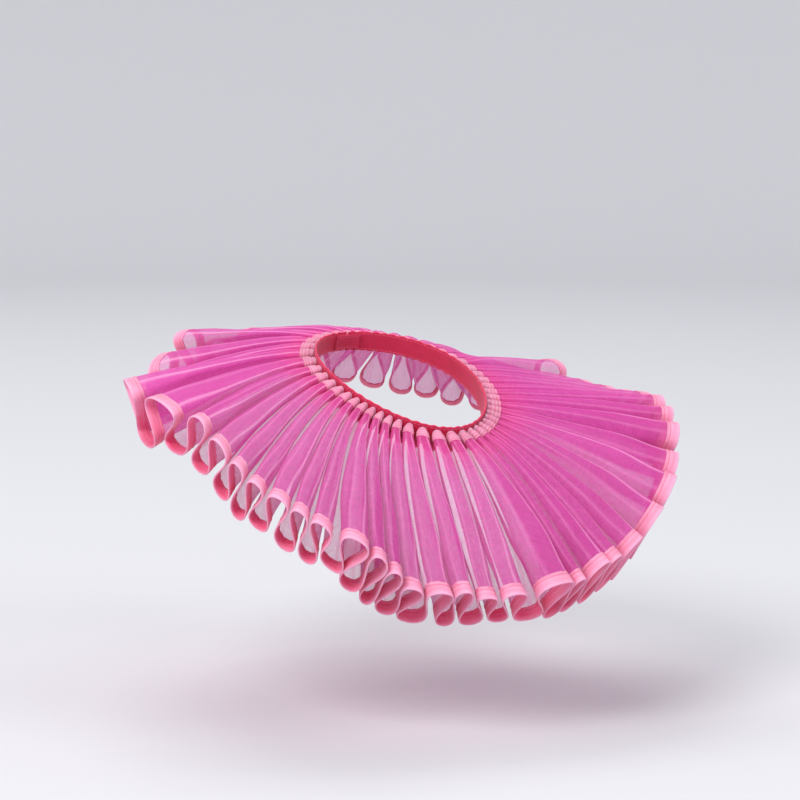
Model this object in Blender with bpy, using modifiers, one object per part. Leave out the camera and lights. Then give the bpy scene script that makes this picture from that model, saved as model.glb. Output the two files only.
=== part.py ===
"""A sheer ruff collar: a pleated strip on a neck band, bound along both edges with ribbon.

Run with: blender --background --python part.py
Metres, +Z up. The wearer faces -Y, so +X is the wearer's left. The origin is the middle
of the neck opening. The strip is followed by its phase: 0 at the centre back, growing by
one for each organ pleat, round the wearer's right side and the front and back again.
Within a pleat the upper lobe comes first, at a quarter, and the lower one at three quarters.
"""

from collections import namedtuple
from math import cos, pi, radians, sin, sqrt, tau

import bpy
import numpy as np

MM = 0.001

# Neck band: an oval ring that drops towards the front, more steeply there than at the back.
NECK_HALF_WIDTH = 58 * MM
NECK_HALF_DEPTH = 77 * MM
NECK_TILT = 28 * MM
NECK_DIP = 6 * MM
BAND_HEIGHT = 16 * MM
BAND_THICKNESS = 1.5 * MM
BAND_STEPS = 96
CLOSURE_GAP = 2 * MM
TAB_LENGTH = 22 * MM
TAB_HEIGHT = 12 * MM
TAB_THICKNESS = 1.2 * MM
TAB_STEPS = 6

# Ruffle strip: its width from band to hem, with the heading ribbon as its first part and
# the hem ribbon as its last. It lies a little askew, with its hem shifted to the left.
STRIP_WIDTH = 146 * MM
HEM_SHIFT = 5 * MM
RIBBON_WIDTH = 9.5 * MM
HEADING_LENGTH = 11 * MM
SHOULDER_ARCH = 26 * MM
ORGANZA_THICKNESS = 1.0 * MM
RIBBON_THICKNESS = 1.4 * MM
SEAM_GAP = 0.3 * MM

# Organ pleats: a figure of eight at the hem, narrow cartridge tubes at the neck, where the
# heading keeps its height. Beyond it the pleats flare, in steps from heading to ribbon.
PLEATS = 48
SAMPLES_A_PLEAT = 12
HEM_CURL = 0.265
NECK_CURL = 0.19
NECK_HALF_HEIGHT = 5.2 * MM
FLARE_STEPS = (0.0, 0.32, 1.0)

# One row for each pleat from behind the wearer's right shoulder to the front of the left:
# where it is stitched to the band and where its hem lies (degrees from the front), how
# steeply the strip falls to it (degrees), half its height at the hem (mm) and how far its
# upper lobe leans along the hem.
Pleat = namedtuple("Pleat", "neck_angle hem_angle slope half_height lean")
FIRST_SHAPED_PLEAT = 2
SHAPED_PLEATS = [
    Pleat(-158.0, -156.0, 7.0, 21.0, 0.00),
    Pleat(-148.0, -144.0, 15.0, 19.0, 0.05),
    Pleat(-137.0, -130.0, 16.5, 18.0, -0.15),
    Pleat(-125.0, -109.0, 11.5, 25.0, 0.15),
    Pleat(-112.0, -88.0, 8.5, 19.0, 0.85),
    Pleat(-102.0, -79.0, 9.5, 20.0, 0.20),
    Pleat(-93.5, -74.0, 15.0, 16.0, -0.20),
    Pleat(-85.5, -70.5, 20.5, 20.0, -0.20),
    Pleat(-78.5, -66.5, 23.5, 17.5, -0.08),
    Pleat(-72.0, -61.0, 26.5, 20.0, -0.10),
    Pleat(-66.0, -56.5, 30.0, 22.0, -0.15),
    Pleat(-60.5, -51.5, 31.5, 16.5, -0.35),
    Pleat(-55.0, -45.5, 36.0, 22.5, -0.15),
    Pleat(-49.5, -42.0, 42.0, 22.0, -0.30),
    Pleat(-44.0, -39.0, 47.0, 22.5, -0.20),
    Pleat(-38.0, -33.5, 51.5, 23.0, 0.06),
    Pleat(-31.0, -25.0, 51.0, 25.0, 0.06),
    Pleat(-22.0, -19.0, 50.0, 24.0, 0.04),
    Pleat(-12.0, -11.5, 50.5, 18.0, -0.20),
    Pleat(-2.0, -4.0, 49.0, 21.0, -0.30),
    Pleat(7.0, 8.0, 48.0, 27.0, 0.05),
    Pleat(14.0, 13.5, 48.0, 24.5, 0.05),
    Pleat(20.5, 19.0, 44.0, 27.5, 0.10),
    Pleat(26.5, 25.5, 42.5, 24.0, 0.00),
    Pleat(32.5, 34.0, 40.5, 28.0, 0.10),
    Pleat(38.5, 41.5, 34.5, 30.0, 0.20),
    Pleat(44.0, 49.5, 25.0, 23.0, 0.03),
    Pleat(50.0, 58.0, 20.0, 17.0, -0.10),
    Pleat(56.0, 65.0, 15.5, 22.0, 0.00),
    Pleat(62.0, 70.5, 13.0, 20.0, 0.05),
    Pleat(68.0, 76.0, 12.0, 19.0, 0.00),
    Pleat(74.0, 82.0, 13.0, 17.0, 0.00),
    Pleat(80.5, 88.5, 15.0, 18.0, 0.05),
    Pleat(87.0, 96.0, 16.0, 18.0, 0.00),
    Pleat(94.5, 103.5, 16.0, 18.0, 0.00),
    Pleat(102.0, 112.0, 13.5, 21.0, 0.05),
]
# The other pleats are spread evenly over the left shoulder and the back.
BACK_HALF_HEIGHT = 18.5
BACK_HEIGHT_CHANGE = 2.0
BACK_LEAN = 0.14
BACK_SLOPE = 8.0
SHOULDER_SLOPE = 21.0

# The strip's lengths in order of phase: organza in eighths, ribbon in quarters.
PANELS = (
    "back_right",
    "shoulder_back_right",
    "shoulder_front_right",
    "front_right",
    "front_left",
    "shoulder_front_left",
    "shoulder_back_left",
    "back_left",
)
QUARTERS = ("back_right", "front_right", "front_left", "back_left")

Finish = namedtuple("Finish", "colour roughness metallic")
ORGANZA = Finish((0.80, 0.16, 0.42), 0.55, 0.0)
RIBBON = Finish((0.95, 0.22, 0.45), 0.45, 0.0)
BAND = Finish((0.85, 0.06, 0.20), 0.55, 0.0)

UP = np.array([0.0, 0.0, 1.0])


def unit(vector):
    return vector / np.linalg.norm(vector)


def outward(angle):
    """The level direction away from the neck, at an angle in radians from the front."""
    return np.array([sin(angle), -cos(angle), 0.0])


def all_pleats():
    """Every pleat in order of phase, with hem angles running from -180 to 180 degrees."""
    first, last = SHAPED_PLEATS[0], SHAPED_PLEATS[-1]
    after = PLEATS - FIRST_SHAPED_PLEAT - len(SHAPED_PLEATS)
    right_side = []
    for k in range(FIRST_SHAPED_PLEAT):
        share = (k + 0.5) / (FIRST_SHAPED_PLEAT + 0.5)
        angles = [share * (angle + 180) - 180 for angle in (first.neck_angle, first.hem_angle)]
        right_side.append(plain_pleat(*angles, k))
    left_side = []
    for k in range(after):
        share = 1 - (k + 1) / (after + 0.5)
        angles = [180 - share * (180 - angle) for angle in (last.neck_angle, last.hem_angle)]
        left_side.append(plain_pleat(*angles, k + 4))
    return right_side + SHAPED_PLEATS + left_side


def plain_pleat(neck_angle, hem_angle, number):
    """A pleat of the shoulders or back: its slope is gentlest at the centre back."""
    side = sin(radians(abs(hem_angle)))
    slope = BACK_SLOPE + (SHOULDER_SLOPE - BACK_SLOPE) * side
    half_height = BACK_HALF_HEIGHT + BACK_HEIGHT_CHANGE * sin(number * 2.4)
    return Pleat(neck_angle, hem_angle, slope, half_height, BACK_LEAN * sin(number * 1.7))


PLEAT_ROWS = all_pleats()


def smooth(column, phase):
    """A column of the pleats' table at any phase, on a smooth curve through the rows."""
    turn = 360.0 if column in ("neck_angle", "hem_angle") else 0.0
    place = phase - 0.5
    start = int(np.floor(place))
    part = place - start
    around = []
    for row in range(start - 1, start + 3):
        laps, row = divmod(row, PLEATS)
        around.append(getattr(PLEAT_ROWS[row], column) + turn * laps)
    before, here, there, after = around
    rise, bend = there - before, 2 * before - 5 * here + 4 * there - after
    twist = 3 * (here - there) + after - before
    return here + 0.5 * part * (rise + part * (bend + part * twist))


def neck_angle(phase):
    return radians(smooth("neck_angle", phase))


def neck_point(angle):
    """A point on the middle line of the neck band."""
    drop = NECK_TILT * cos(angle) + NECK_DIP * cos(angle) ** 2
    return np.array([NECK_HALF_WIDTH * sin(angle), -NECK_HALF_DEPTH * cos(angle), -drop])


def neck_axes(angle):
    """The band's own directions: along the ring, away from the neck, and up its height."""
    step = 0.001
    along = unit(neck_point(angle + step) - neck_point(angle - step))
    up = unit(np.array([0.0, -NECK_TILT, NECK_HALF_DEPTH]))
    away = unit(np.cross(along, up))
    return along, away, np.cross(away, along)


def hem_point(phase):
    """The middle line of the hem, where the strip would end if it weren't pleated."""
    angle, slope = radians(smooth("hem_angle", phase)), radians(smooth("slope", phase))
    reach = cos(slope) * outward(angle) - sin(slope) * UP
    return neck_point(angle) + STRIP_WIDTH * reach + np.array([HEM_SHIFT, 0.0, 0.0])


def pleat_wave(phase, pitch, curl, half_height, lean):
    """How far the cloth lies along the strip and above its middle, from its even place."""
    above = half_height * sin(tau * phase)
    return lean * above - curl * pitch * sin(2 * tau * phase), above


def curve_share(distance):
    """How far along the strip's curve this distance across its width reaches, from 0 to 1."""
    bend = STRIP_WIDTH - 2 * SHOULDER_ARCH
    return (sqrt(SHOULDER_ARCH**2 + bend * distance) - SHOULDER_ARCH) / bend


def strip_point(phase, distance):
    """A point of the ruffle, from its phase and its distance across the strip's width."""
    angle = neck_angle(phase)
    along, away, up = neck_axes(angle)
    outer = BAND_THICKNESS / 2 + SEAM_GAP
    start = neck_point(angle) + outer * away
    end = hem_point(phase)
    hem_along = unit(hem_point(phase + 1.5) - hem_point(phase - 1.5))
    pitch = 2 * np.linalg.norm(hem_point(phase + 0.25) - hem_point(phase - 0.25))
    hem_up = unit(np.cross(end - start, hem_along))
    share = curve_share(distance)
    arch = start + SHOULDER_ARCH * away
    line = (1 - share) ** 2 * start + 2 * share * (1 - share) * arch + share**2 * end
    stitched = [neck_point(neck_angle(phase + side)) for side in (-0.25, 0.25)]
    neck_pitch = 2 * np.linalg.norm(stitched[1] - stitched[0])
    neck = pleat_wave(phase, neck_pitch, NECK_CURL, NECK_HALF_HEIGHT, 0.0)
    height, lean = smooth("half_height", phase) * MM, smooth("lean", phase)
    hem = pleat_wave(phase, pitch, HEM_CURL, height, lean)
    grown = max(0.0, distance - HEADING_LENGTH) / (STRIP_WIDTH - HEADING_LENGTH)
    across = (1 - grown) * neck[0] * along + grown * hem[0] * hem_along
    above = (1 - grown) * neck[1] * up + grown * hem[1] * hem_up
    return line + across + above


def strip_mesh(name, first_pleat, pleats, distances):
    """The open surface of one length of cloth, its ends drawn in to leave the seam gaps."""
    columns = pleats * SAMPLES_A_PLEAT
    points = []
    for column in range(columns + 1):
        phase = first_pleat + column / SAMPLES_A_PLEAT
        inside = 0.01 * ((column == 0) - (column == columns))
        for distance in distances:
            point = strip_point(phase, distance)
            if inside:
                point = point + SEAM_GAP / 2 * unit(strip_point(phase + inside, distance) - point)
            points.append(point)
    rows = len(distances)
    faces = []
    for column in range(columns):
        for row in range(rows - 1):
            corner = column * rows + row
            faces.append((corner, corner + 1, corner + rows + 1, corner + rows))
    mesh = bpy.data.meshes.new(name)
    mesh.from_pydata([tuple(point) for point in points], [], faces)
    mesh.shade_smooth()
    return mesh


def material(name, finish):
    made = bpy.data.materials.new(name)
    made.use_nodes = True
    shader = made.node_tree.nodes["Principled BSDF"]
    shader.inputs["Base Color"].default_value = (*finish.colour, 1.0)
    shader.inputs["Roughness"].default_value = finish.roughness
    shader.inputs["Metallic"].default_value = finish.metallic
    return made


def add_cloth(collection, name, mesh, thickness, finish):
    """An object whose open surface is thickened evenly to both sides."""
    cloth = bpy.data.objects.new(name, mesh)
    cloth.data.materials.append(material(name, finish))
    wall = cloth.modifiers.new("Wall", "SOLIDIFY")
    wall.thickness = thickness
    wall.offset = 0.0
    collection.objects.link(cloth)
    return cloth


def organza_panel(collection, name, first_pleat, pleats):
    start = HEADING_LENGTH + SEAM_GAP
    end = STRIP_WIDTH - RIBBON_WIDTH - SEAM_GAP
    distances = [start + (end - start) * step for step in FLARE_STEPS]
    mesh = strip_mesh(name, first_pleat, pleats, distances)
    return add_cloth(collection, name, mesh, ORGANZA_THICKNESS, ORGANZA)


def folded_ribbon(collection, name, first_pleat, pleats, start, end):
    """Ribbon folded over an edge of the strip, from start to end across its width."""
    mesh = strip_mesh(name, first_pleat, pleats, [start, end])
    return add_cloth(collection, name, mesh, RIBBON_THICKNESS, RIBBON)


def ring_mesh(name, first_angle, last_angle, steps, height, inset):
    """An open surface that follows the neck, moved in from the band's middle surface."""
    points = []
    for step in range(steps + 1):
        angle = first_angle + (last_angle - first_angle) * step / steps
        away, up = neck_axes(angle)[1:]
        middle = neck_point(angle) - inset * away
        points += [middle - height / 2 * up, middle + height / 2 * up]
    faces = [(2 * k, 2 * k + 1, 2 * k + 3, 2 * k + 2) for k in range(steps)]
    mesh = bpy.data.meshes.new(name)
    mesh.from_pydata([tuple(point) for point in points], [], faces)
    mesh.shade_smooth()
    return mesh


def neck_band(collection):
    """The band, open at the centre back by the closure gap."""
    opening = CLOSURE_GAP / 2 / NECK_HALF_WIDTH
    mesh = ring_mesh("neck_band", opening - pi, pi - opening, BAND_STEPS, BAND_HEIGHT, 0.0)
    return add_cloth(collection, "neck_band", mesh, BAND_THICKNESS, BAND)


def back_tab(collection):
    """The underlap that closes the band, lying inside it across the gap."""
    reach = TAB_LENGTH / 2 / NECK_HALF_WIDTH
    inset = (BAND_THICKNESS + TAB_THICKNESS) / 2 + SEAM_GAP
    mesh = ring_mesh("back_tab", pi - reach, pi + reach, TAB_STEPS, TAB_HEIGHT, inset)
    return add_cloth(collection, "back_tab", mesh, TAB_THICKNESS, BAND)


def main():
    for old in list(bpy.data.objects):
        bpy.data.objects.remove(old)
    collection = bpy.data.collections.new("ruff_collar")
    bpy.context.scene.collection.children.link(collection)
    neck_band(collection)
    back_tab(collection)
    pleats = PLEATS // len(PANELS)
    for number, place in enumerate(PANELS):
        organza_panel(collection, "organza_" + place, number * pleats, pleats)
    pleats = PLEATS // len(QUARTERS)
    hem_start = STRIP_WIDTH - RIBBON_WIDTH
    for number, quarter in enumerate(QUARTERS):
        lengths = (number * pleats, pleats)
        folded_ribbon(collection, "heading_" + quarter, *lengths, 0.0, HEADING_LENGTH)
        folded_ribbon(collection, "hem_ribbon_" + quarter, *lengths, hem_start, STRIP_WIDTH)


main()
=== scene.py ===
"""Looks of the sheer ruff collar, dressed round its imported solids.

Metres, +Z up, in the part's own frame: the origin is the middle of the neck opening, the
wearer faces -Y and +X is the wearer's left. As in the solids, the strip is followed by its
phase (0 at the centre back, one for each organ pleat, round the wearer's right side and the
front) and by the distance across its cut width, from the neck band to the hem.
"""

from collections import namedtuple
from math import cos, pi, radians, sin, tau

import bmesh
import bpy
import numpy as np
from mathutils import Matrix, Vector


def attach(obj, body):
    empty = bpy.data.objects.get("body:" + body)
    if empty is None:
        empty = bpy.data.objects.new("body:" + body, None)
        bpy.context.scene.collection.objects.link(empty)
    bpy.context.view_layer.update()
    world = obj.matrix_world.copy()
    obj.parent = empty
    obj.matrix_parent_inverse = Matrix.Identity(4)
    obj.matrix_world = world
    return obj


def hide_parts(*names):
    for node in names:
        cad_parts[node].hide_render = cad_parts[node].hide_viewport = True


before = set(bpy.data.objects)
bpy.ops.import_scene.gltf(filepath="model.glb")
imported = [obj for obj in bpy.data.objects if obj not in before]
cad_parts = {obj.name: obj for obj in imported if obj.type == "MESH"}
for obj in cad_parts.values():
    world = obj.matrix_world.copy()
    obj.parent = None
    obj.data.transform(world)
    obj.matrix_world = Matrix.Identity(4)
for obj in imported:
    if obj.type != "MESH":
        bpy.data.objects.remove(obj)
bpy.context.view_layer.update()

MM = 0.001
UP = np.array([0.0, 0.0, 1.0])

# Sizes of the solids, from which every piece below is worked out.
NECK_HALF_WIDTH = 58 * MM
NECK_HALF_DEPTH = 77 * MM
NECK_TILT = 28 * MM
NECK_DIP = 6 * MM
BAND_HEIGHT = 16 * MM
BAND_THICKNESS = 1.5 * MM
CLOSURE_GAP = 2 * MM
TAB_LENGTH = 22 * MM
TAB_HEIGHT = 12 * MM
TAB_THICKNESS = 1.2 * MM
STRIP_WIDTH = 146 * MM
HEM_SHIFT = 5 * MM
RIBBON_WIDTH = 9.5 * MM
HEADING_LENGTH = 11 * MM
SHOULDER_ARCH = 26 * MM
SEAM_GAP = 0.3 * MM
PLEATS = 48
HEM_CURL = 0.265
NECK_CURL = 0.19
NECK_HALF_HEIGHT = 5.2 * MM

# The strip's lengths in order of phase: organza in eighths, ribbon in quarters.
PANELS = (
    "back_right",
    "shoulder_back_right",
    "shoulder_front_right",
    "front_right",
    "front_left",
    "shoulder_front_left",
    "shoulder_back_left",
    "back_left",
)
QUARTERS = ("back_right", "front_right", "front_left", "back_left")

# The real pleats swell until each leans against the next one: how much more than the solids'
# they curl at the band, in the heading, past it and at the hem (shares of a pleat's pitch), how
# far that curl is turned, so that they lean over one another (radians), the stretches over
# which they swell in the heading and past it, and where across the strip they start to ease.
BAND_SWELL = -0.07
HEADING_SWELL = 0.09
SWELL = 0.17
HEM_SWELL = 0.0
SWELL_TURN = 1.10
HEADING_SWELLS_OVER = 0.7 * HEADING_LENGTH
SWELL_START = 22 * MM
SWELL_EASE = 92 * MM

# One row for each pleat from behind the wearer's right shoulder to the front of the left:
# where it is stitched to the band and where its hem lies (degrees from the front), how
# steeply the strip falls to it (degrees), half its height at the hem (mm) and how far its
# upper lobe leans along the hem.
Pleat = namedtuple("Pleat", "neck_angle hem_angle slope half_height lean")
FIRST_SHAPED_PLEAT = 2
SHAPED_PLEATS = [
    Pleat(-158.0, -156.0, 7.0, 21.0, 0.00),
    Pleat(-148.0, -144.0, 15.0, 19.0, 0.05),
    Pleat(-137.0, -130.0, 16.5, 18.0, -0.15),
    Pleat(-125.0, -109.0, 11.5, 25.0, 0.15),
    Pleat(-112.0, -88.0, 8.5, 19.0, 0.85),
    Pleat(-102.0, -79.0, 9.5, 20.0, 0.20),
    Pleat(-93.5, -74.0, 15.0, 16.0, -0.20),
    Pleat(-85.5, -70.5, 20.5, 20.0, -0.20),
    Pleat(-78.5, -66.5, 23.5, 17.5, -0.08),
    Pleat(-72.0, -61.0, 26.5, 20.0, -0.10),
    Pleat(-66.0, -56.5, 30.0, 22.0, -0.15),
    Pleat(-60.5, -51.5, 31.5, 16.5, -0.35),
    Pleat(-55.0, -45.5, 36.0, 22.5, -0.15),
    Pleat(-49.5, -42.0, 42.0, 22.0, -0.30),
    Pleat(-44.0, -39.0, 47.0, 22.5, -0.20),
    Pleat(-38.0, -33.5, 51.5, 23.0, 0.06),
    Pleat(-31.0, -25.0, 51.0, 25.0, 0.06),
    Pleat(-22.0, -19.0, 50.0, 24.0, 0.04),
    Pleat(-12.0, -11.5, 50.5, 18.0, -0.20),
    Pleat(-2.0, -4.0, 49.0, 21.0, -0.30),
    Pleat(7.0, 8.0, 48.0, 27.0, 0.05),
    Pleat(14.0, 13.5, 48.0, 24.5, 0.05),
    Pleat(20.5, 19.0, 44.0, 27.5, 0.10),
    Pleat(26.5, 25.5, 42.5, 24.0, 0.00),
    Pleat(32.5, 34.0, 40.5, 28.0, 0.10),
    Pleat(38.5, 41.5, 34.5, 30.0, 0.20),
    Pleat(44.0, 49.5, 25.0, 23.0, 0.03),
    Pleat(50.0, 58.0, 20.0, 17.0, -0.10),
    Pleat(56.0, 65.0, 15.5, 22.0, 0.00),
    Pleat(62.0, 70.5, 13.0, 20.0, 0.05),
    Pleat(68.0, 76.0, 12.0, 19.0, 0.00),
    Pleat(74.0, 82.0, 13.0, 17.0, 0.00),
    Pleat(80.5, 88.5, 15.0, 18.0, 0.05),
    Pleat(87.0, 96.0, 16.0, 18.0, 0.00),
    Pleat(94.5, 103.5, 16.0, 18.0, 0.00),
    Pleat(102.0, 112.0, 13.5, 21.0, 0.05),
]
# The other pleats are spread evenly over the left shoulder and the back. Their half heights
# (mm) and leans differ from one to the next as a sine does, in steps of these radians, and the
# left side's pleats are numbered from further on. Their slopes are in degrees.
BACK_HALF_HEIGHT = 18.5
BACK_HEIGHT_CHANGE = 2.0
BACK_HEIGHT_STEP = 2.4
BACK_LEAN = 0.14
BACK_LEAN_STEP = 1.7
LEFT_SIDE_NUMBER = 4
BACK_SLOPE = 8.0
SHOULDER_SLOPE = 21.0

# Creases of the organza over a stretch of six pleats: where across the stretch (phases),
# from where to where across the strip (mm), how deep (mm, below zero a trough), how wide by its
# end (mm of the hem) and how far it drifts along the strip by then (phases). The stretch is laid
# eight times round the collar, each time with the creases a little moved and changed.
Crease = namedtuple("Crease", "place begins ends depth width drift")
CREASES_EVERY = 6
CREASES = [
    Crease(0.06, 12, 96, 0.55, 3.0, 0.05),
    Crease(0.44, 12, 60, -0.60, 4.5, -0.04),
    Crease(0.62, 70, 134, 0.35, 3.5, 0.03),
    Crease(1.02, 12, 124, -0.55, 3.5, 0.02),
    Crease(1.40, 30, 88, 0.45, 4.0, -0.06),
    Crease(1.95, 12, 48, 0.65, 3.0, 0.05),
    Crease(2.13, 55, 130, -0.45, 5.0, -0.03),
    Crease(2.55, 12, 110, 0.50, 3.2, 0.04),
    Crease(3.07, 12, 72, -0.65, 4.0, -0.05),
    Crease(3.46, 84, 136, 0.40, 3.0, 0.02),
    Crease(3.90, 12, 118, 0.45, 3.6, 0.03),
    Crease(4.41, 20, 66, -0.50, 5.0, -0.06),
    Crease(4.98, 12, 132, 0.50, 3.0, 0.02),
    Crease(5.36, 40, 104, -0.40, 4.2, 0.05),
    Crease(5.60, 12, 56, 0.60, 3.0, -0.04),
]
# On each lap the creases move along the strip (phases), those that begin past the heading
# begin nearer or further (mm), and their lengths and depths change by these shares.
CREASE_MOVE = 0.12
CREASE_START_MOVE = 8
CREASE_LENGTH_CHANGE = 0.12
CREASE_DEPTH_CHANGE = 0.25
# About how much cloth a pleat holds at the hem (mm), what share of its full width a crease has
# where it begins, and the shares of its run by which it is there and from which it fades.
PLEAT_CLOTH = 110
CREASE_START_WIDTH = 0.45
CREASE_THERE = 0.12
CREASE_FADES = 0.55
# Creases are deeper by this share near the heading, where the cloth is gathered hard, and lose
# that between these distances across the strip.
NECK_CREASES = 0.5
NECK_CREASES_END = (24 * MM, 60 * MM)
# A faint pressed ridge (mm) runs out along the top and the bottom of each pleat. It rises past
# the heading and sinks before the hem ribbon over these stretches.
RIDGE_HEIGHT = 0.35
RIDGE_PHASES = 0.013
RIDGE_RISE = 14 * MM
RIDGE_END = 8 * MM
# Where else in each pleat a pressed crease is painted as a paler line of highlight, as where
# its fold catches the light, how strongly, how wide the line is and how far it wanders (phases).
CreaseHighlight = namedtuple("CreaseHighlight", "phase strength")
CREASE_HIGHLIGHTS = (
    CreaseHighlight(0.19, 0.4),
    CreaseHighlight(0.305, 1.0),
    CreaseHighlight(0.69, 0.3),
    CreaseHighlight(0.805, 0.8),
)
CREASE_HIGHLIGHT_PHASES = 0.011
CREASE_HIGHLIGHT_DRIFT = 0.012
# Slow waves of the whole cloth: along the strip (turns a pleat), across it (turns) and their
# height (mm).
Wave = namedtuple("Wave", "along across height")
WAVES = [Wave(1.7, 1.3, 0.45), Wave(2.9, -2.1, 0.25), Wave(0.37, 0.8, 0.5)]
# Puckers where the ribbon's stitching draws the organza in: their height is in mm.
PUCKER_HEIGHT = 0.28
PUCKER_PITCH = 6.5 * MM
PUCKER_REACH = 6 * MM

# The cloth is darker and denser by the neck, where its gathers lie over one another, and in
# the narrow hems at the strip's two ends.
NECK_DOUBLED = 0.5
NECK_DOUBLED_FROM = HEADING_LENGTH - 6 * MM
NECK_DOUBLED_TO = HEADING_LENGTH + 34 * MM
END_HEM = 4 * MM
# How far the strip's two ends stop short of the centre back (phases).
END_SETBACK = 0.002

# How finely the cloth is meshed, in columns for each pleat or along the whole band or tab, and
# how finely the strip and the band are sampled to space stitches and to measure the hem.
ORGANZA_COLUMNS = 80
RIBBON_COLUMNS = 60
HEADING_COLUMNS = 40
BAND_COLUMNS = 480
TAB_COLUMNS = 40
SPACING_COLUMNS = 60
HEM_SAMPLES = 48
RING_SAMPLES = 400

# Ribbon folded over an edge of the strip: how far it reaches from its fold, half its
# thickness there, where its rows of stitching lie, measured from the fold, how deep and wide
# a groove they draw in, and how far its lip stands off the organza.
Fold = namedtuple("Fold", "reach half_thickness rows groove_depth groove_width lip_lift")
HEM_FOLD = Fold(RIBBON_WIDTH, 0.6 * MM, (7.1 * MM,), 0.3 * MM, 0.5 * MM, 0.15 * MM)
HEADING_FOLD = Fold(
    HEADING_LENGTH, 0.6 * MM, (3.4 * MM, 6.6 * MM, 9.2 * MM), 0.45 * MM, 0.6 * MM, 0.35 * MM
)
# How far the organza reaches in under a ribbon, and how much thinner a ribbon is by its lips.
TUCKED_IN = 2 * MM
LIP_THINNING = 0.15 * MM
# A ribbon is painted paler along its fold, as highlight, and beside its rows of stitching, over
# this width, and painted darker within the stitching's grooves, as shade, over a narrower one.
HIGHLIGHT_WIDTH = 0.9 * MM
GROOVE_SHADE_WIDTH = 0.35 * MM
# The crowns of the ribbons' loops are paler than their insides, where less light has come.
CROWN_FADE = 0.45
# Stitches: how long each is, how far apart they start, and half the thread's thickness.
STITCH_LENGTH = 2.5 * MM
STITCH_SPACING = 3.2 * MM
THREAD_RADIUS = 0.16 * MM
# The band's edges ripple a little, and its stitching runs this far in from them, and stops
# short of its ends by this angle (radians).
BAND_RIPPLE = 0.3 * MM
BAND_STITCHES_IN = 1.7 * MM
BAND_STITCHES_SHORT = 0.02

# Colours, on the usual 0 to 255 scale. Each cloth runs from its first to its second.
ORGANZA_COLOURS = ((220, 78, 172), (232, 106, 192))
ORGANZA_DOUBLED = (250, 80, 150)
# A painted highlight, for the organza's pressed creases.
ORGANZA_CREASE_HIGHLIGHT = (252, 184, 226)
ORGANZA_SHEEN = (255, 176, 216)
RIBBON_COLOURS = ((246, 44, 112), (255, 190, 222))
BAND_COLOURS = ((190, 4, 48), (240, 50, 104))
RIBBON_SHEEN = (255, 205, 225)
THREAD_COLOURS = ((226, 62, 122), (250, 128, 172))
PAPER = (203, 203, 206)
# The share of the organza that is thread and not gap, where it is plain and single, and how
# far apart the threads of its weave and the ribs of the ribbons are drawn.
ORGANZA_COVER = 0.50
WEAVE_PITCH = 0.7 * MM
RIBBON_RIB_PITCH = 0.9 * MM
BAND_RIB_PITCH = 0.8 * MM

# Camera: the photograph's angle, how large a metre is there and where the origin lies.
PICTURE_SIZE = 800
VIEW_AZIMUTH = -32.0
VIEW_ELEVATION = 7.0
VIEW_DISTANCE = 2.2
PIXELS_A_METRE = 1330.0
ORIGIN_X_PX = 398.5
ORIGIN_Y_PX = 379.5
SENSOR_WIDTH = 36.0

# Studio: square softboxes that face the collar, at these angles from the front and the level
# (degrees), distances and sizes (m) and powers (W), with their tints.
Softbox = namedtuple("Softbox", "name azimuth elevation distance size power tint")
SOFTBOXES = (
    Softbox("key", -68, 42, 4.4, 2.0, 132, (1.0, 0.985, 0.97)),
    Softbox("fill", 30, 30, 4.4, 2.2, 50, (0.97, 0.98, 1.0)),
    Softbox("top", 170, 62, 4.0, 2.2, 62, (1.0, 1.0, 1.0)),
)
WORLD_TINT = (0.92, 0.94, 1.0, 1.0)
WORLD_STRENGTH = 0.7
# The paper cove: how low its floor lies, how far that runs, and the sizes of curve and wall.
FLOOR_LEVEL = -0.24
FLOOR_REACH = 3.6
COVE_CURVE = 1.2
COVE_WALL = 1.2
COVE_STEPS = 96


def unit(vectors):
    return vectors / np.linalg.norm(vectors, axis=-1, keepdims=True)


def steps_along(points):
    """How long each step is from one of these points to the next."""
    return np.linalg.norm(np.diff(points, axis=0), axis=-1)


def run_along(points):
    """How far each of these points lies from the first, along the line through them all."""
    return np.concatenate([[0.0], np.cumsum(steps_along(points))])


def outward(angle):
    """The level direction away from the neck, at angles in radians from the front."""
    return np.stack([np.sin(angle), -np.cos(angle), 0 * angle], axis=-1)


def all_pleats():
    """Every pleat in order of phase, with hem angles running from -180 to 180 degrees."""
    first, last = SHAPED_PLEATS[0], SHAPED_PLEATS[-1]
    after = PLEATS - FIRST_SHAPED_PLEAT - len(SHAPED_PLEATS)
    right_side = []
    for k in range(FIRST_SHAPED_PLEAT):
        share = (k + 0.5) / (FIRST_SHAPED_PLEAT + 0.5)
        angles = [share * (angle + 180) - 180 for angle in (first.neck_angle, first.hem_angle)]
        right_side.append(plain_pleat(*angles, k))
    left_side = []
    for k in range(after):
        share = 1 - (k + 1) / (after + 0.5)
        angles = [180 - share * (180 - angle) for angle in (last.neck_angle, last.hem_angle)]
        left_side.append(plain_pleat(*angles, k + LEFT_SIDE_NUMBER))
    return right_side + SHAPED_PLEATS + left_side


def plain_pleat(neck_angle, hem_angle, number):
    """A pleat of the shoulders or back: its slope is gentlest at the centre back."""
    side = sin(radians(abs(hem_angle)))
    slope = BACK_SLOPE + (SHOULDER_SLOPE - BACK_SLOPE) * side
    half_height = BACK_HALF_HEIGHT + BACK_HEIGHT_CHANGE * sin(number * BACK_HEIGHT_STEP)
    lean = BACK_LEAN * sin(number * BACK_LEAN_STEP)
    return Pleat(neck_angle, hem_angle, slope, half_height, lean)


PLEAT_COLUMNS = Pleat(*(np.array(column) for column in zip(*all_pleats())))


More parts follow.
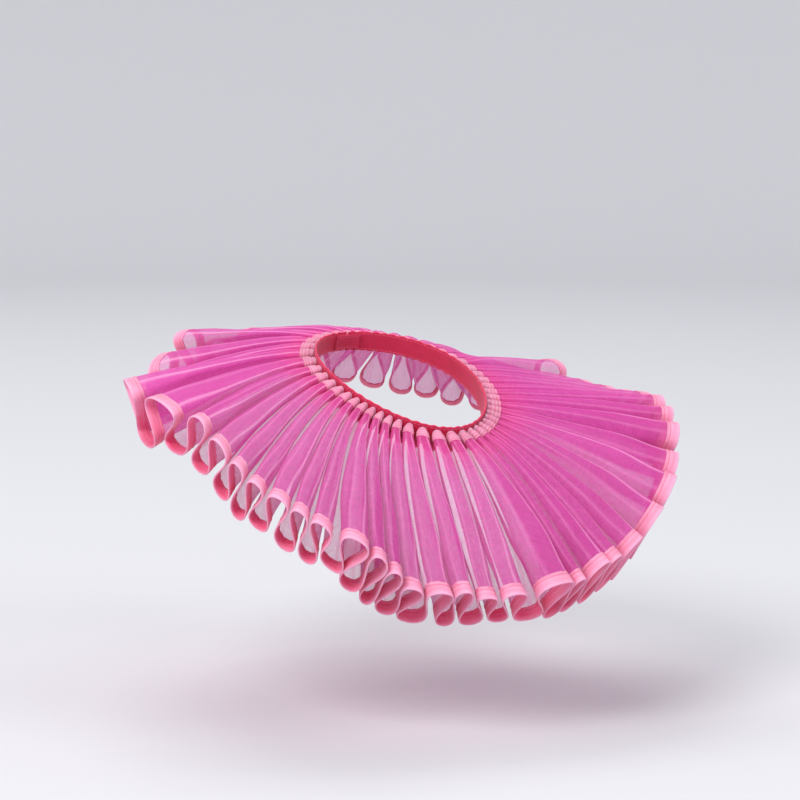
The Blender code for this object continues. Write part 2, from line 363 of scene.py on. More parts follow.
def smooth(column, phase):
    """A column of the pleats' table at any phases, on a smooth curve through the rows."""
    place = phase - 0.5
    start = np.floor(place).astype(int)
    part = place - start
    around = []
    for step in range(-1, 3):
        laps, row = np.divmod(start + step, PLEATS)
        turned = 360.0 * laps if column in ("neck_angle", "hem_angle") else 0.0
        around.append(getattr(PLEAT_COLUMNS, column)[row] + turned)
    before, here, there, after = around
    rise, bend = there - before, 2 * before - 5 * here + 4 * there - after
    twist = 3 * (here - there) + after - before
    return here + 0.5 * part * (rise + part * (bend + part * twist))


def neck_angle(phase):
    return np.radians(smooth("neck_angle", phase))


def neck_point(angle):
    """Points on the middle line of the neck band."""
    drop = NECK_TILT * np.cos(angle) + NECK_DIP * np.cos(angle) ** 2
    sizes = (NECK_HALF_WIDTH * np.sin(angle), -NECK_HALF_DEPTH * np.cos(angle))
    return np.stack([*sizes, -drop], axis=-1)


def neck_axes(angle):
    """The band's own directions: along the ring, away from the neck, and up its height."""
    step = 0.001
    along = unit(neck_point(angle + step) - neck_point(angle - step))
    away = unit(np.cross(along, unit(np.array([0.0, -NECK_TILT, NECK_HALF_DEPTH]))))
    return along, away, np.cross(away, along)


def hem_point(phase):
    """The middle line of the hem, where the strip would end if it weren't pleated."""
    angle, slope = np.radians(smooth("hem_angle", phase)), np.radians(smooth("slope", phase))
    reach = np.cos(slope)[:, None] * outward(angle) - np.sin(slope)[:, None] * UP
    return neck_point(angle) + STRIP_WIDTH * reach + np.array([HEM_SHIFT, 0.0, 0.0])


def pleat_wave(phase, pitch, curl, half_height, lean):
    """How far the cloth lies along the strip and above its middle, from its even place."""
    above = half_height * np.sin(tau * phase)
    return (lean * above - curl * pitch * np.sin(2 * tau * phase))[:, None], above[:, None]


def curve_share(distance):
    """How far along the strip's curve these distances across its width reach, from 0 to 1."""
    bend = STRIP_WIDTH - 2 * SHOULDER_ARCH
    return (np.sqrt(SHOULDER_ARCH**2 + bend * distance) - SHOULDER_ARCH) / bend


def even_strip(phase, distance):
    """The strip's middle surface: an array of phases x distances x 3."""
    angle = neck_angle(phase)
    along, away, up = neck_axes(angle)
    start = neck_point(angle) + (BAND_THICKNESS / 2 + SEAM_GAP) * away
    end = hem_point(phase)
    hem_along = unit(hem_point(phase + 1.5) - hem_point(phase - 1.5))
    pitch = 2 * np.linalg.norm(hem_point(phase + 0.25) - hem_point(phase - 0.25), axis=-1)
    hem_up = unit(np.cross(end - start, hem_along))
    share = curve_share(distance)[None, :, None]
    arch = start + SHOULDER_ARCH * away
    line = (1 - share) ** 2 * start[:, None] + share**2 * end[:, None]
    line = line + 2 * share * (1 - share) * arch[:, None]
    stitched = [neck_point(neck_angle(phase + side)) for side in (-0.25, 0.25)]
    neck_pitch = 2 * np.linalg.norm(stitched[1] - stitched[0], axis=-1)
    across, above = pleat_wave(phase, neck_pitch, NECK_CURL, NECK_HALF_HEIGHT, 0.0)
    neck = across * along + above * up
    height = smooth("half_height", phase) * MM
    across, above = pleat_wave(phase, pitch, HEM_CURL, height, smooth("lean", phase))
    hem = across * hem_along + above * hem_up
    grown = np.clip(distance - HEADING_LENGTH, 0, None) / (STRIP_WIDTH - HEADING_LENGTH)
    grown = grown[None, :, None]
    past_heading = fade(distance, HEADING_LENGTH, HEADING_LENGTH + SWELL_START)
    towards_hem = fade(distance, SWELL_EASE, STRIP_WIDTH - RIBBON_WIDTH)
    swell = BAND_SWELL + (HEADING_SWELL - BAND_SWELL) * fade(distance, 0, HEADING_SWELLS_OVER)
    swell = swell + (SWELL - HEADING_SWELL) * past_heading
    swell = swell + (HEM_SWELL - swell) * towards_hem
    turned = past_heading * (1 - towards_hem)
    turn = 2 * tau * phase[:, None] + SWELL_TURN * turned[None, :]
    curl = (swell[None, :] * np.sin(turn))[..., None]
    fuller = (1 - grown) * (neck_pitch[:, None] * along)[:, None]
    fuller = fuller + grown * (pitch[:, None] * hem_along)[:, None]
    return line + (1 - grown) * neck[:, None] + grown * hem[:, None] - curl * fuller


def strip_axes(phase, distance):
    """The strip's own directions at each point: along it, across it and off its surface."""
    phase_step, step = 0.004, 0.2 * MM
    before, after = (even_strip(phase + side * phase_step, distance) for side in (-1, 1))
    along = unit(after - before)
    across = unit(even_strip(phase, distance + step) - even_strip(phase, distance - step))
    off = unit(np.cross(along, across))
    return along, np.cross(off, along), off


def hem_length(phase):
    """How far each of these rising phases lies along the hem from the centre back."""
    fine = np.linspace(0, PLEATS, PLEATS * HEM_SAMPLES + 1)
    points = even_strip(fine, np.array([STRIP_WIDTH]))[:, 0]
    return np.interp(phase, fine, run_along(points))


def fade(value, start, end):
    """0 before start and 1 after end, with a soft step between."""
    part = np.clip((value - start) / (end - start), 0, 1)
    return part * part * (3 - 2 * part)


def soft_relief(phase, distance):
    """How far the cloth's creases, waves and puckers stand off the even surface.

    Sines of the lap and the crease's number take the place of chance.
    """
    phase, distance = phase[:, None], distance[None, :]
    flare = np.clip((distance - HEADING_LENGTH) / (STRIP_WIDTH - HEADING_LENGTH), 0, 1)
    seam = STRIP_WIDTH - RIBBON_WIDTH
    off_heading = fade(distance, HEADING_LENGTH, HEADING_LENGTH + RIDGE_RISE)
    off_ribbon = 1 - fade(distance, seam - RIDGE_END, seam)
    relief = np.zeros(np.broadcast_shapes(phase.shape, distance.shape))
    for wave in WAVES:
        turns = wave.along * phase + wave.across * distance / STRIP_WIDTH
        relief += wave.height * flare * np.sin(tau * turns)
    fold = (phase % 1) - 0.25
    top = np.exp(-((fold / RIDGE_PHASES) ** 2))
    bottom = np.exp(-(((fold - 0.5) / RIDGE_PHASES) ** 2))
    relief += RIDGE_HEIGHT * (top - bottom) * off_heading * off_ribbon
    near_heading = 1 + NECK_CREASES - NECK_CREASES * fade(distance, *NECK_CREASES_END)
    for number, crease in enumerate(CREASES):
        for lap in range(PLEATS // CREASES_EVERY):
            change = sin(lap * 2.3 + number * 1.7)
            place = crease.place + CREASES_EVERY * lap + CREASE_MOVE * change
            begins = crease.begins
            # Creases that start at the heading stay there.
            if begins > HEADING_LENGTH / MM + 2:
                begins += CREASE_START_MOVE * change
            longer = 1 + CREASE_LENGTH_CHANGE * sin(lap * 3.1 + number)
            ends = min(crease.ends * longer, (seam - TUCKED_IN) / MM)
            run = np.clip((distance / MM - begins) / (ends - begins), 0, 1)
            width = crease.width / PLEAT_CLOTH
            width = width * (CREASE_START_WIDTH + (1 - CREASE_START_WIDTH) * run)
            off_line = (phase - place - crease.drift * run) / width
            strength = fade(run, 0, CREASE_THERE) * (1 - fade(run, CREASE_FADES, 1))
            strength = strength * (1 - CREASE_DEPTH_CHANGE + CREASE_DEPTH_CHANGE * change)
            relief += crease.depth * near_heading * np.exp(-(off_line**2)) * strength
    uneven = 2 * np.sin(phase[:, 0] * 3.7)
    puckers = np.sin(tau * hem_length(phase[:, 0]) / PUCKER_PITCH + uneven)
    near_seam = np.exp(-np.abs(distance - seam) / PUCKER_REACH) * (distance < seam + TUCKED_IN)
    relief += PUCKER_HEIGHT * puckers[:, None] * near_seam
    return relief * MM


def crease_highlights(phase, distance):
    """How strongly each point of the cloth carries a pressed crease's painted highlight, 0 to 1.
    """
    phase, distance = phase[:, None], distance[None, :]
    shown = np.zeros(np.broadcast_shapes(phase.shape, distance.shape))
    for number, line in enumerate(CREASE_HIGHLIGHTS):
        turn = 1.9 * np.floor(phase) + number + 2.5 * distance / STRIP_WIDTH
        drift = CREASE_HIGHLIGHT_DRIFT * np.sin(turn)
        off_line = ((phase % 1) - line.phase - drift) / CREASE_HIGHLIGHT_PHASES
        shown += line.strength * np.exp(-(off_line**2))
    return np.clip(shown, 0, 1)


def strip_surface(phase, distance, lift=0.0):
    """Points of the real cloth, lifted off its middle surface by lift at each distance."""
    off = strip_axes(phase, distance)[2]
    away = soft_relief(phase, distance) + lift
    return even_strip(phase, distance) + away[..., None] * off


def linked(name, data):
    """A new object of the scene, made of this mesh, light or camera."""
    made = bpy.data.objects.new(name, data)
    bpy.context.scene.collection.objects.link(made)
    return made


def grid_object(name, points, uv, closed=False):
    """A mesh through a grid of points, columns x rows x 3, with a UV map in metres."""
    columns, rows = points.shape[:2]
    index = np.arange(columns * rows).reshape(columns, rows)
    if closed:
        index = np.concatenate([index, index[:, :1]], axis=1)
        uv = np.concatenate([uv, uv[:, :1] + [0, 2 * uv[0, -1, 1] - uv[0, -2, 1]]], axis=1)
    quads = np.stack([index[:-1, :-1], index[1:, :-1], index[1:, 1:], index[:-1, 1:]], axis=-1)
    corners = np.stack([uv[:-1, :-1], uv[1:, :-1], uv[1:, 1:], uv[:-1, 1:]], axis=-2)
    mesh = bpy.data.meshes.new(name)
    mesh.from_pydata(points.reshape(-1, 3).tolist(), [], quads.reshape(-1, 4).tolist())
    layer = mesh.uv_layers.new(name="cloth")
    layer.data.foreach_set("uv", corners.reshape(-1).astype(np.float32))
    mesh.shade_smooth()
    return linked(name, mesh)


def add_number(obj, name, values):
    """A number for each point of the mesh, which its material reads by name."""
    layer = obj.data.attributes.new(name, "FLOAT", "POINT")
    layer.data.foreach_set("value", np.asarray(values, np.float32).reshape(-1))


# ---------------------------------------------------------------- materials


class Tree:
    """A material's node tree, with short calls to add nodes and link them."""

    def __init__(self, name):
        self.material = bpy.data.materials.new(name)
        self.material.use_nodes = True
        self.nodes = self.material.node_tree.nodes
        self.links = self.material.node_tree.links
        self.nodes.clear()

    def add(self, kind, inputs=None, **settings):
        """A node with its settings, and its inputs set to values or linked to sockets."""
        node = self.nodes.new("ShaderNode" + kind)
        for name, value in settings.items():
            setattr(node, name, value)
        for name, value in (inputs or {}).items():
            if isinstance(value, bpy.types.NodeSocket):
                self.links.new(value, node.inputs[name])
            else:
                node.inputs[name].default_value = value
        return node

    def math(self, operation, first, second=0.0, clamp=False):
        inputs = {0: first, 1: second}
        return self.add("Math", inputs, operation=operation, use_clamp=clamp).outputs[0]

    def total(self, first, *parts):
        """A number plus sockets times their weights, kept between 0 and 1."""
        for socket, weight in parts:
            first = self.math("ADD", self.math("MULTIPLY", socket, weight), first, clamp=True)
        return first

    def mix(self, share, first, second):
        """A colour between two colours."""
        node = self.add("Mix", {0: share, 6: first, 7: second}, data_type="RGBA")
        return node.outputs[2]

    def cloth_place(self):
        """Distances along and across the cloth, in metres."""
        uv = self.add("UVMap", uv_map="cloth").outputs[0]
        parts = self.add("SeparateXYZ", {0: uv})
        return parts.outputs[0], parts.outputs[1]

    def threads(self, place, pitch):
        """A wave from -1 to 1 that repeats at each thread."""
        return self.math("SINE", self.math("MULTIPLY", place, tau / pitch))

    def streaks(self, along, across, length, width, detail=2.0):
        """Soft noise drawn out into streaks of this length and width."""
        stretched = (self.math("DIVIDE", along, length), self.math("DIVIDE", across, width))
        vector = self.add("CombineXYZ", {0: stretched[0], 1: stretched[1]}).outputs[0]
        noise = self.add("TexNoise", {"Vector": vector, "Scale": 1.0, "Detail": detail})
        return noise.outputs[0]

    def bump(self, height, distance, strength=1.0):
        inputs = {"Height": height, "Distance": distance, "Strength": strength}
        return self.add("Bump", inputs).outputs[0]

    def finish(self, shader):
        self.add("OutputMaterial", {0: shader})
        return self.material


def colour(levels):
    """A colour in linear light with full alpha, from levels on the usual 0 to 255 scale."""
    scaled = [value / 255 for value in levels]
    linear = [v / 12.92 if v < 0.04045 else ((v + 0.055) / 1.055) ** 2.4 for v in scaled]
    return (*linear, 1.0)


def organza_material():
    """Sheer plain-weave organza: fine threads with slubs, light through it and a soft sheen."""
    tree = Tree("organza")
    along, across = tree.cloth_place()
    threads = [tree.threads(place, WEAVE_PITCH) for place in (across, along)]
    weave = tree.math("MULTIPLY", *threads)
    slubs = tree.math(
        "ADD",
        tree.streaks(along, across, 45 * MM, 0.9 * MM),
        tree.streaks(along, across, 0.9 * MM, 30 * MM),
    )
    slubs = tree.math("SUBTRACT", slubs, 1.0)
    grain = tree.math("SUBTRACT", tree.streaks(along, across, 1.1 * MM, 1.1 * MM, 3.0), 0.5)
    clouds = tree.streaks(along, across, 60 * MM, 40 * MM)
    # Watered bands, where the threads of the cloth's layers fall in and out of step.
    bent = tree.math("MULTIPLY", tree.streaks(along, across, 34 * MM, 26 * MM, 1.0), 9.0)
    watered = tree.math("SINE", tree.math("MULTIPLY", bent, tau))
    doubled = tree.add("Attribute", attribute_name="doubled").outputs["Fac"]
    pressed_highlight = tree.add("Attribute", attribute_name="pressed_highlight").outputs["Fac"]
    base = tree.mix(clouds, *map(colour, ORGANZA_COLOURS))
    base = tree.mix(doubled, base, colour(ORGANZA_DOUBLED))
    # Painted highlight: the pressed creases turn pale pink, as where a fold catches the light;
    # they also close up the cloth a little.
    base = tree.mix(tree.math("MULTIPLY", pressed_highlight, 0.8), base, colour(ORGANZA_CREASE_HIGHLIGHT))
    cover = tree.total(ORGANZA_COVER, (weave, 0.07), (slubs, 0.15), (grain, 0.40),
                       (watered, 0.03), (doubled, 0.28), (pressed_highlight, 0.30))
    bump = tree.bump(tree.math("ADD", weave, slubs), 0.05 * MM, 0.7)
    surface = tree.add(
        "BsdfPrincipled",
        {
            "Base Color": base,
            "Roughness": 0.62,
            "Specular IOR Level": 0.15,
            "Sheen Weight": 0.2,
            "Sheen Roughness": 0.4,
            "Sheen Tint": colour(ORGANZA_SHEEN),
            "Normal": bump,
        },
    ).outputs[0]
    through = tree.add("BsdfTranslucent", {"Color": base, "Normal": bump}).outputs[0]
    thread = tree.add("MixShader", {0: 0.3, 1: surface, 2: through}).outputs[0]
    clear = tree.add("BsdfTransparent").outputs[0]
    # Seen edge on, the yarns close up and their sheen shows as a bright line.
    edge_on = tree.add("LayerWeight", {"Blend": 0.3}).outputs["Facing"]
    closed = tree.math("MULTIPLY", tree.math("POWER", edge_on, 2.0), 0.8)
    gap = tree.math("SUBTRACT", 1.0, cover)
    cover = tree.math("ADD", cover, tree.math("MULTIPLY", gap, closed))
    return tree.finish(tree.add("MixShader", {0: cover, 1: clear, 2: thread}).outputs[0])


def ribbon_material(name, colours, rib_pitch):
    """Satin-faced ribbon: fine ribs, painted highlights and shade, and soft colour changes."""
    tree = Tree(name)
    along, across = tree.cloth_place()
    ribs = tree.threads(along, rib_pitch)
    fine = tree.threads(across, 0.35 * MM)
    cloudy = tree.streaks(along, across, 16 * MM, 6 * MM)
    fuzz = tree.streaks(along, across, 1.4 * MM, 0.5 * MM)
    painted_light = tree.add("Attribute", attribute_name="painted_light").outputs["Fac"]
    # Random changes of tone, plus the painted highlights and painted shade read from the mesh.
    shade = tree.total(0.0, (cloudy, 0.6), (fuzz, 0.34), (ribs, 0.05), (painted_light, 0.55))
    base = tree.mix(shade, *map(colour, colours))
    height = tree.math("ADD", ribs, tree.math("MULTIPLY", fine, 0.35))
    height = tree.math("ADD", height, fuzz)
    roughness = tree.total(0.34, (fuzz, 0.2))
    surface = tree.add(
        "BsdfPrincipled",
        {
            "Base Color": base,
            "Roughness": roughness,
            "Specular IOR Level": 0.45,
            "Sheen Weight": 0.35,
            "Sheen Roughness": 0.4,
            "Sheen Tint": colour(RIBBON_SHEEN),
            "Normal": tree.bump(height, 0.07 * MM, 0.8),
        },
    ).outputs[0]
    through = tree.add("BsdfTranslucent", {"Color": base}).outputs[0]
    return tree.finish(tree.add("MixShader", {0: 0.3, 1: surface, 2: through}).outputs[0])


def thread_material():
    """Twisted polyester sewing thread, a shade deeper than the ribbon."""
    tree = Tree("thread")
    place = tree.add("TexCoord").outputs["Object"]
    noise = tree.add("TexNoise", {"Vector": place, "Scale": 900.0}).outputs[0]
    base = tree.mix(noise, *map(colour, THREAD_COLOURS))
    surface = tree.add(
        "BsdfPrincipled",
        {
            "Base Color": base,
            "Roughness": 0.42,
            "Sheen Weight": 0.3,
            "Normal": tree.bump(noise, 0.05 * MM),
        },
    )
    return tree.finish(surface.outputs[0])


def paper_material():
    """The studio's matte paper, with a faint unevenness."""
    tree = Tree("paper")
    noise = tree.add("TexNoise", {"Scale": 2.0, "Detail": 3.0}).outputs[0]
    base, change = colour(PAPER), 0.03
    darker = tuple(value * (1 - change) for value in base[:3]) + (1.0,)
    shade = tree.mix(noise, darker, base)
    surface = tree.add("BsdfPrincipled", {"Base Color": shade, "Roughness": 0.9})
    return tree.finish(surface.outputs[0])


ORGANZA = organza_material()
RIBBON = ribbon_material("ribbon", RIBBON_COLOURS, RIBBON_RIB_PITCH)
BAND = ribbon_material("band", BAND_COLOURS, BAND_RIB_PITCH)
THREAD = thread_material()


# ---------------------------------------------------------------- pieces


def dress(piece, finish, slot, *nodes):
    """Gives a piece its material, rides it on the collar and hides the solids it stands for."""
    piece.data.materials.append(finish)
    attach(piece, "root")
    if nodes:
        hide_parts(*nodes)


def stretch_phases(number, stretches, columns):
    """Phases of a length's columns. Only the centre back ends are drawn in from their seam."""
    pleats = PLEATS // stretches
    phases = np.linspace(number * pleats, (number + 1) * pleats, pleats * columns + 1)
    if number == 0:
        phases[0] += END_SETBACK
    if number == stretches - 1:
        phases[-1] -= END_SETBACK
    return phases


def organza_panel(number, place):
    """A length of organza, from inside the heading to inside the hem ribbon."""
    phase = stretch_phases(number, len(PANELS), ORGANZA_COLUMNS)
    seam = STRIP_WIDTH - RIBBON_WIDTH
    distance = np.concatenate([
        np.linspace(HEADING_LENGTH - TUCKED_IN, HEADING_LENGTH, 3),
        np.linspace(HEADING_LENGTH + 2.5 * MM, seam - 12 * MM, 18),
        np.linspace(seam - 9 * MM, seam + TUCKED_IN, 6),
    ])
    points = strip_surface(phase, distance)
    along = hem_length(phase)
    # The UV map is the flat cut: half a ring, whose outer edge is the hem.
    outer = (along[-1] - along[0]) / pi
    turn = (along - along[0]) / outer
    radius = outer - (distance[-1] - distance)
    uv = np.stack([np.cos(turn)[:, None] * radius, np.sin(turn)[:, None] * radius], axis=-1)
    panel = grid_object("sheer_" + place, points, uv)
    from_end = np.minimum(along, hem_length(float(PLEATS)) - along)
    in_hem = 1 - fade(from_end, END_HEM, END_HEM + 1 * MM)
    near_neck = 1 - fade(distance, NECK_DOUBLED_FROM, NECK_DOUBLED_TO)
    add_number(panel, "doubled", np.maximum(in_hem[:, None], NECK_DOUBLED * near_neck[None, :]))
    # Where the pressed creases get their painted highlight.
    add_number(panel, "pressed_highlight", crease_highlights(phase, distance))
    dress(panel, ORGANZA, "organza", "organza_" + place)
    cut_width = distance[-1] - distance[0]
    area = pi / 2 * (outer**2 - (outer - cut_width) ** 2)
    return panel, (outer, 2 * outer), area


def fold_stations(fold):
    """Distances from the fold to the lip on one face of a folded ribbon, and its lift there."""
    half = fold.half_thickness
    arc = np.radians([0, 25, 50, 75, 90])
    near = half * (1 - np.cos(arc))
    flat = [0.5 * (first + second) for first, second in zip((half,) + fold.rows, fold.rows)]
    steps = (-1.3, -0.6, 0, 0.6, 1.3)
    flat += [row + step * fold.groove_width for row in fold.rows for step in steps]
    flat += [fold.reach - 0.7 * MM, fold.reach - 0.15 * MM, fold.reach]
    away = np.concatenate([near, np.sort(flat)])
    round_fold = half * np.sqrt(np.clip(1 - (1 - np.minimum(away, half) / half) ** 2, 0, 1))
    grooves = sum(np.exp(-(((away - row) / fold.groove_width) ** 2)) for row in fold.rows)
    thin = LIP_THINNING * fade(away, 0.55 * fold.reach, fold.reach)
    lift = round_fold - fold.groove_depth * grooves - thin
    lift = np.maximum(lift, fold.lip_lift * fade(away, fold.rows[-1], fold.reach))
    return np.append(away, fold.reach), np.append(lift, 0.8 * fold.lip_lift)


def folded_ribbon(name, phase, edge, inward, fold):
    """A ribbon folded over an edge of the strip, from one lip round the fold to the other."""
    away, lift = fold_stations(fold)
    away = np.concatenate([away[::-1], away[1:]])
    lift = np.concatenate([lift[::-1], -lift[1:]])
    distance = edge + inward * away
    points = strip_surface(phase, distance, lift[None, :])
    across = run_along(np.stack([away, lift], axis=-1))
    along = hem_length(phase)
    uv = np.stack(np.broadcast_arrays(along[:, None], across[None, :]), axis=-1)
    ribbon = grid_object(name, points, uv)
    at_fold = np.exp(-((away / HIGHLIGHT_WIDTH) ** 2))
    at_rows, in_rows = (
        sum(np.exp(-(((away - row) / width) ** 2)) for row in fold.rows)
        for width in (HIGHLIGHT_WIDTH, GROOVE_SHADE_WIDTH)
    )
    # Painted light: highlight along the fold and beside the rows of stitching, shade in the
    # stitching's grooves, and the loops' crowns painted lit and their insides painted shaded.
    painted_light = np.clip(at_fold + 0.5 * at_rows, 0, 1) - 1.2 * in_rows
    faded = CROWN_FADE * np.sin(tau * phase)
    add_number(ribbon, "painted_light", painted_light[None, :] + faded[:, None])
    return ribbon


def stitch_mesh():
    """Points and faces of one stitch: a unit ball, whose poles are the stitch's two ends."""
    bpy.ops.mesh.primitive_uv_sphere_add(segments=6, ring_count=4, radius=1.0)
    ball = bpy.context.object
    points = np.array([vertex.co for vertex in ball.data.vertices])
    faces = [tuple(face.vertices) for face in ball.data.polygons]
    bpy.data.objects.remove(ball)
    return points[:, [2, 0, 1]], faces


BALL_POINTS, BALL_FACES = stitch_mesh()


def stitches(name, centres, along, side, off):
    """One joined mesh of stitches, each lying at its centre in its own directions."""
    sizes = (STITCH_LENGTH / 2, THREAD_RADIUS, 0.8 * THREAD_RADIUS)
    ball = BALL_POINTS * sizes
    points = centres[:, None] + sum(
        ball[None, :, k, None] * direction[:, None]
        for k, direction in enumerate((along, side, off))
    )
    step = len(ball)
    faces = [
        tuple(corner + number * step for corner in face)
        for number in range(len(centres))
        for face in BALL_FACES
    ]
    mesh = bpy.data.meshes.new(name)
    mesh.from_pydata(points.reshape(-1, 3).tolist(), [], faces)
    mesh.shade_smooth()
    return linked(name, mesh)


def stitch_places(points, sampled):
    """Where stitches fall on a line: the values of sampled, which gave points, spaced evenly."""
    run = run_along(points)
    return np.interp(np.arange(STITCH_SPACING / 2, run[-1], STITCH_SPACING), run, sampled)


def strip_stitches(name, number, edge, inward, fold):
    """Rows of stitches on both faces of a folded ribbon, along a quarter of the strip."""
    fine = stretch_phases(number, len(QUARTERS), SPACING_COLUMNS)
    rows = []
    for row in fold.rows:
        distance = np.array([edge + inward * row])
        phase = stitch_places(even_strip(fine, distance)[:, 0], fine)
        axes = [axis[:, 0] for axis in strip_axes(phase, distance)]
        for face in (1, -1):
            lift = np.array([[face * (fold.half_thickness - fold.groove_depth)]])
            rows.append([strip_surface(phase, distance, lift)[:, 0], *axes])
    return stitches(name, *(np.concatenate(parts) for parts in zip(*rows)))


def hem_ribbon(number, quarter):
    """The ribbon folded over a quarter of the hem, and its stitching."""
    phase = stretch_phases(number, len(QUARTERS), RIBBON_COLUMNS)
    ribbon = folded_ribbon("ribbon_" + quarter, phase, STRIP_WIDTH, -1, HEM_FOLD)
    dress(ribbon, RIBBON, "ribbon", "hem_ribbon_" + quarter)
    sewing = strip_stitches("hem_stitches_" + quarter, number, STRIP_WIDTH, -1, HEM_FOLD)
    dress(sewing, THREAD, "ribbon")
    return ribbon, sewing


def heading(number, quarter):
    """The ribbon over the strip's neck edge, gathered in rows into the cartridge tubes."""
    phase = stretch_phases(number, len(QUARTERS), HEADING_COLUMNS)
    ribbon = folded_ribbon("gathered_" + quarter, phase, 0.0, 1, HEADING_FOLD)
    dress(ribbon, RIBBON, "ribbon", "heading_" + quarter)
    sewing = strip_stitches("gathers_" + quarter, number, 0.0, 1, HEADING_FOLD)
    dress(sewing, THREAD, "ribbon")
    return ribbon, sewing


def ring_band(name, first_angle, last_angle, columns, height, thickness, inset, ripple):
    """A thick ribbon round the neck with rounded edges, its top and bottom a little wavy."""
    angle = np.linspace(first_angle, last_angle, columns + 1)
    along, away, up = neck_axes(angle)
    half, radius = height / 2, thickness / 2
    corner = np.radians([0, 30, 60, 90, 120, 150, 180])
    levels = [-0.85, -0.5, 0.0, 0.5, 0.85]
    top = [(radius * cos(a), half - radius + radius * sin(a)) for a in corner]
    bottom = [(-radius * cos(a), -half + radius - radius * sin(a)) for a in corner]
    inner = [(-radius, (half - radius) * level) for level in levels[::-1]]
    outer = [(radius, (half - radius) * level) for level in levels]
    profile = np.array(top + inner + bottom + outer)
    wavy = ripple * (np.sin(58 * angle) + 0.6 * np.sin(37 * angle + 1.0))
    rise = profile[None, :, 1] + wavy[:, None] * np.abs(profile[None, :, 1]) / half
    middle = neck_point(angle) - inset * away
    points = middle[:, None] + profile[None, :, 0, None] * away[:, None]
    points = points + rise[..., None] * up[:, None]
    run, across = run_along(neck_point(angle)), run_along(profile)
    uv = np.stack(np.broadcast_arrays(run[:, None], across[None, :]), axis=-1)
    ring = grid_object(name, points, uv, closed=True)
    fill_ends(ring, len(profile))
    # Painted highlight: the band is paler along its top and bottom edges, where they round over.
    edge = np.abs(profile[:, 1]) / half
    painted_light = np.broadcast_to(0.9 * fade(edge, 0.9, 1.0), points.shape[:2])
    add_number(ring, "painted_light", painted_light)
    return ring


def fill_ends(ring, rows):
    """Closes the two open ends of a ring of closed columns."""
    mesh = ring.data
    faces = [tuple(face.vertices) for face in mesh.polygons]
    count = len(mesh.vertices)
    uv = np.empty(len(mesh.loops) * 2, np.float32)
    mesh.uv_layers["cloth"].data.foreach_get("uv", uv)
    faces += [tuple(reversed(range(rows))), tuple(range(count - rows, count))]
    points = [tuple(vertex.co) for vertex in mesh.vertices]
    mesh.clear_geometry()
    mesh.from_pydata(points, [], faces)
    layer = mesh.uv_layers.get("cloth") or mesh.uv_layers.new(name="cloth")
    ends = np.zeros(2 * 2 * rows, np.float32)
    layer.data.foreach_set("uv", np.concatenate([uv, ends]))
    mesh.shade_smooth()


def neck_band():
    """The band, open by the closure's gap at the centre back."""
    opening = CLOSURE_GAP / 2 / NECK_HALF_WIDTH
    band = ring_band("band", opening - pi, pi - opening, BAND_COLUMNS, BAND_HEIGHT,
                     BAND_THICKNESS, 0.0, BAND_RIPPLE)
    dress(band, BAND, "band", "neck_band")
    return band


def back_tab():
    """The underlap tab, inside the band across its opening."""
    reach = TAB_LENGTH / 2 / NECK_HALF_WIDTH
    inset = (BAND_THICKNESS + TAB_THICKNESS) / 2 + SEAM_GAP
    tab = ring_band("tab", pi - reach, pi + reach, TAB_COLUMNS, TAB_HEIGHT, TAB_THICKNESS,
                    inset, 0.0)
    dress(tab, BAND, "band", "back_tab")
    return tab


def ring_stitches(name, rows):
    """Rows of stitches round the band. A row gives its angles, its rise and its way out."""
    parts = []
    for first, last, rise, out in rows:
        fine = np.linspace(first, last, RING_SAMPLES)
        angle = stitch_places(neck_point(fine), fine)
        along, away, up = neck_axes(angle)
        parts.append([neck_point(angle) + rise * up + out * away, along, up, away])
    return stitches(name, *(np.concatenate(part) for part in zip(*parts)))


def band_stitches():
    """Stitching along both edges of the band, on both its faces, and along the tab's inside."""
    opening = CLOSURE_GAP / 2 / NECK_HALF_WIDTH + BAND_STITCHES_SHORT
    edge = BAND_HEIGHT / 2 - BAND_STITCHES_IN
    face = BAND_THICKNESS / 2
    places = [(rise, out) for rise in (edge, -edge) for out in (face, -face)]
    rows = [(opening - pi, pi - opening, *place) for place in places]
    reach = TAB_LENGTH / 2 / NECK_HALF_WIDTH - BAND_STITCHES_SHORT
    inside = -(BAND_THICKNESS / 2 + SEAM_GAP + TAB_THICKNESS)
    tab_edge = TAB_HEIGHT / 2 - BAND_STITCHES_IN
    rows += [(pi - reach, pi + reach, rise, inside) for rise in (tab_edge, -tab_edge)]
    sewing = ring_stitches("band_stitches", rows)
    dress(sewing, THREAD, "band")
    return sewing


def declare_sheets():
    """Works out each quarter's length along the hem and its line at the neck, and uses neither.
    """
    for number in range(len(QUARTERS)):
        phase = stretch_phases(number, len(QUARTERS), RIBBON_COLUMNS)
        length = float(np.ptp(hem_length(phase)))
        at_neck = even_strip(phase, np.array([HEADING_LENGTH / 2]))[:, 0]


# ---------------------------------------------------------------- studio


def camera():
    """The camera at the photograph's angle, framed by where the origin lies in it."""
    azimuth, elevation = radians(VIEW_AZIMUTH), radians(VIEW_ELEVATION)
    right = Vector((cos(azimuth), sin(azimuth), 0.0))
    level = cos(elevation)
    ahead = Vector((-sin(azimuth) * level, cos(azimuth) * level, -sin(elevation)))
    made = linked("camera", bpy.data.cameras.new("camera"))
    made.data.sensor_width = SENSOR_WIDTH
    made.data.lens = SENSOR_WIDTH * PIXELS_A_METRE * VIEW_DISTANCE / PICTURE_SIZE
    middle = PICTURE_SIZE / 2
    made.data.shift_x = (middle - ORIGIN_X_PX) / PICTURE_SIZE
    made.data.shift_y = (ORIGIN_Y_PX - middle) / PICTURE_SIZE
    turn = Matrix((right, right.cross(ahead), -ahead)).transposed()
    made.matrix_world = Matrix.Translation(-VIEW_DISTANCE * ahead) @ turn.to_4x4()
    bpy.context.scene.camera = made


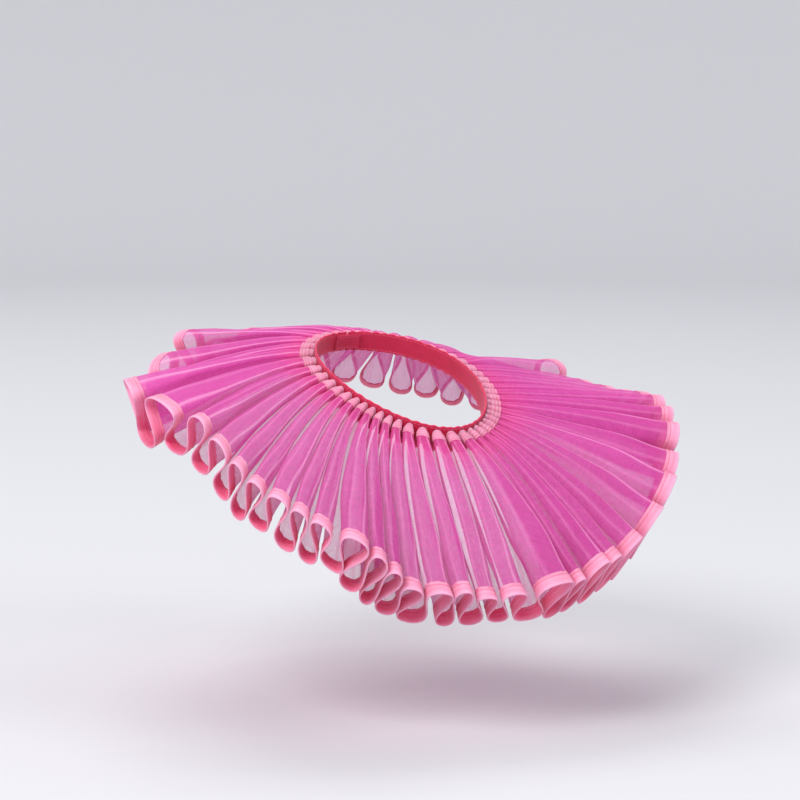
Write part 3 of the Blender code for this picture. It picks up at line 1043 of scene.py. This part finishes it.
def backdrop():
    """A round cove of pale paper: a flat floor that curves up into a wall all the way round."""
    bend = np.radians(np.linspace(0, 90, 13))
    curved = FLOOR_REACH + COVE_CURVE * np.sin(bend)
    reach = np.concatenate([[0.0, 1.5], curved, [FLOOR_REACH + COVE_CURVE]])
    rise = np.concatenate([[0, 0], COVE_CURVE * (1 - np.cos(bend)), [COVE_WALL]]) + FLOOR_LEVEL
    angle = np.linspace(0, tau, COVE_STEPS + 1)
    across, ahead = reach * np.sin(angle)[:, None], reach * np.cos(angle)[:, None]
    points = np.stack(np.broadcast_arrays(across, ahead, rise[None, :]), axis=-1)
    cove = grid_object("cove", points, np.zeros((*points.shape[:2], 2)))
    joined = bmesh.new()
    joined.from_mesh(cove.data)
    bmesh.ops.remove_doubles(joined, verts=joined.verts, dist=0.1 * MM)
    joined.to_mesh(cove.data)
    joined.free()
    cove.data.materials.append(paper_material())


def area_light(box):
    """The light of one softbox, which faces the collar."""
    light = bpy.data.lights.new(box.name, "AREA")
    light.size = box.size
    light.energy = box.power
    light.color = box.tint
    made = linked(box.name, light)
    turn, lift = radians(box.azimuth), radians(box.elevation)
    place = Vector((sin(turn) * cos(lift), -cos(turn) * cos(lift), sin(lift)))
    made.location = box.distance * place
    made.rotation_euler = place.to_track_quat("Z", "Y").to_euler()


def studio():
    """The cove, its softboxes and a soft even light from all round."""
    backdrop()
    for box in SOFTBOXES:
        area_light(box)
    world = bpy.data.worlds.new("world")
    world.use_nodes = True
    background = world.node_tree.nodes["Background"]
    background.inputs["Color"].default_value = WORLD_TINT
    background.inputs["Strength"].default_value = WORLD_STRENGTH
    bpy.context.scene.world = world


def main():
    camera()
    panels, ribbons, headings = [], [], []
    for number, place in enumerate(PANELS):
        panels.append(organza_panel(number, place))
    for number, quarter in enumerate(QUARTERS):
        ribbons.append(hem_ribbon(number, quarter))
        headings.append(heading(number, quarter))
    band, tab = neck_band(), back_tab()
    band_stitches()
    declare_sheets()
    studio()
    bpy.context.scene.view_settings.view_transform = "Standard"


main()
